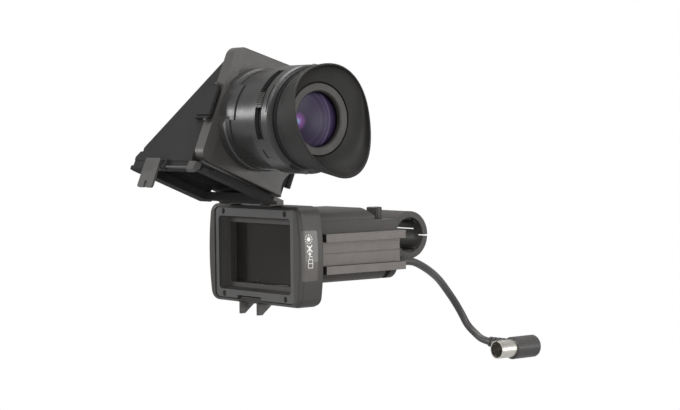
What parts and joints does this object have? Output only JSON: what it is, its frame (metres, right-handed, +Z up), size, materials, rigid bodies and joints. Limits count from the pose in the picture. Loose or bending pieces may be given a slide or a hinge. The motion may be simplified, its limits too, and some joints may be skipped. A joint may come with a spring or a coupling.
{
  "type": "lcd viewfinder",
  "caption": "Camera viewfinder with a display head on a shoe arm, a flip-up mirror hood with eyepiece and rubber eyecup, a microphone clamp and a short lead with a right-angle plug",
  "frame": {"origin": "centre of the shoe rail's outer face", "axes": "+X towards the operator, +Y along the shoe rail away from the display, +Z up"},
  "size_m": [0.1955, 0.316, 0.2337],
  "materials": {
    "housing": "fine texture",
    "face": "smooth satin",
    "hood": "fine texture",
    "barrel": "satin",
    "rail": "dark anodised",
    "rubber": "matt",
    "lead": "matt",
    "steel": "satin",
    "dark_metal": "black oxide",
    "brass": "satin",
    "nickel": "satin nickel",
    "clear": "clear",
    "lens": "coated",
    "window": "smoked",
    "red": "clear red",
    "display": "gloss",
    "board": "matt",
    "mirror": "polished"
  },
  "bodies": {
    "arm": {"shoe_rail": "rail", "arm_housing": "housing", "arm_cover": "housing", "control_panel": "face", "arm_screws": "steel", "tilt_bush": "brass", "mic_holder_lower": "housing", "mic_pin": "steel", "mic_pad_lower": "rubber", "cable_gland": "rubber", "lead": "lead", "plug_boot": "rubber", "plug_body": "barrel", "plug_shell": "nickel", "plug_insert": "face"},
    "lock_knob": {"lock_knob": "dark_metal"},
    "brightness_knob": {"brightness_knob": "barrel"},
    "contrast_knob": {"contrast_knob": "barrel"},
    "peaking_knob": {"peaking_knob": "barrel"},
    "display_switch": {"display_switch": "barrel"},
    "tally_switch": {"tally_switch": "barrel"},
    "mic_clamp": {"mic_holder_upper": "housing", "mic_pad_upper": "rubber"},
    "head": {"tilt_shaft": "dark_metal", "tilt_ring": "steel", "head_shell": "housing", "indicator_window": "window", "tally_lens": "red", "rear_cover": "housing", "face_plate": "face", "face_screws": "dark_metal", "screen_bezel": "face", "screen_glass": "clear", "display_module": "display", "driver_board": "board", "latch_keeper": "dark_metal", "hinge_blocks": "dark_metal", "hood_pin": "steel"},
    "hood": {"hood_frame": "hood", "mirror_box": "hood", "mirror": "mirror", "door_pin": "steel", "latch_bracket": "hood", "grip_strip": "hood"},
    "hood_latch": {"latch_strap": "dark_metal", "latch_hook": "hood", "latch_rod": "steel"},
    "door": {"eyepiece_door": "hood", "eyepiece_barrel": "barrel", "door_clip_pin": "dark_metal"},
    "door_latch": {"door_clip": "hood"},
    "diopter": {"diopter_ring": "barrel"},
    "lens": {"lens_cell": "barrel", "eye_lens": "lens", "lens_annulus": "barrel"},
    "cup": {"eyecup_ring": "barrel", "eyecup": "rubber"}
  },
  "joints": [
    {"name": "head_tilt", "type": "hinge", "parent": "arm", "child": "head", "pos_m": [-0.037, -0.036, 0.001], "axis": [0, 1, 0], "range_deg": [-45, 90]},
    {"name": "hood_flip", "type": "hinge", "parent": "head", "child": "hood", "pos_m": [-0.047, -0.0725, 0.0395], "axis": [1, 0, 0], "range_deg": [0, 112.5]},
    {"name": "hood_latch_lift", "type": "hinge", "parent": "hood", "child": "hood_latch", "pos_m": [-0.047, -0.14463, 0.06423], "axis": [-1, 0, 0], "range_deg": [0, 10], "stiffness_Nm_per_rad": 0.12, "springref_deg": -11.46},
    {"name": "door_swing", "type": "hinge", "parent": "hood", "child": "door", "pos_m": [-0.016, -0.04682, 0.07719], "axis": [0, 0.3827, 0.9239], "range_deg": [0, 65]},
    {"name": "door_latch_lift", "type": "hinge", "parent": "door", "child": "door_latch", "pos_m": [-0.009, -0.12685, 0.10818], "axis": [0, 0.3827, 0.9239], "range_deg": [0, 15], "stiffness_Nm_per_rad": 0.1, "springref_deg": -11.46},
    {"name": "diopter_turn", "type": "hinge", "parent": "door", "child": "diopter", "pos_m": [0.013, -0.09098, 0.09549], "axis": [1, 0, 0], "range_deg": [-33, 33]},
    {"name": "lens_slide", "type": "slide", "parent": "door", "child": "lens", "axis": [1, 0, 0], "range_m": [-0.00175, 0.00175]},
    {"name": "cup_turn", "type": "hinge", "parent": "door", "child": "cup", "pos_m": [0.013, -0.09098, 0.09549], "axis": [1, 0, 0], "continuous": true},
    {"name": "mic_clamp_open", "type": "hinge", "parent": "arm", "child": "mic_clamp", "pos_m": [-0.039, 0.0403, 0.0176], "axis": [1, 0, 0], "range_deg": [0, 60], "stiffness_Nm_per_rad": 0.25, "springref_deg": -22.92},
    {"name": "lock_knob_turn", "type": "hinge", "parent": "arm", "child": "lock_knob", "pos_m": [-0.025, 0.0278, 0.026], "axis": [0, 0, 1], "range_deg": [0, 270]},
    {"name": "brightness_knob_turn", "type": "hinge", "parent": "arm", "child": "brightness_knob", "pos_m": [-0.065, -0.024, 0.007], "axis": [-1, 0, 0], "range_deg": [-135, 135]},
    {"name": "contrast_knob_turn", "type": "hinge", "parent": "arm", "child": "contrast_knob", "pos_m": [-0.065, -0.008, 0.007], "axis": [-1, 0, 0], "range_deg": [-135, 135]},
    {"name": "peaking_knob_turn", "type": "hinge", "parent": "arm", "child": "peaking_knob", "pos_m": [-0.065, 0.008, 0.007], "axis": [-1, 0, 0], "range_deg": [-135, 135]},
    {"name": "display_switch_slide", "type": "slide", "parent": "arm", "child": "display_switch", "axis": [0, 1, 0], "range_m": [-0.0015, 0.0015]},
    {"name": "tally_switch_slide", "type": "slide", "parent": "arm", "child": "tally_switch", "axis": [0, 1, 0], "range_m": [-0.0015, 0.0015]}
  ],
  "couplings": [
    {"joint": "diopter_turn", "follows": "lens_slide", "rad_per_m": 314.47}
  ]
}
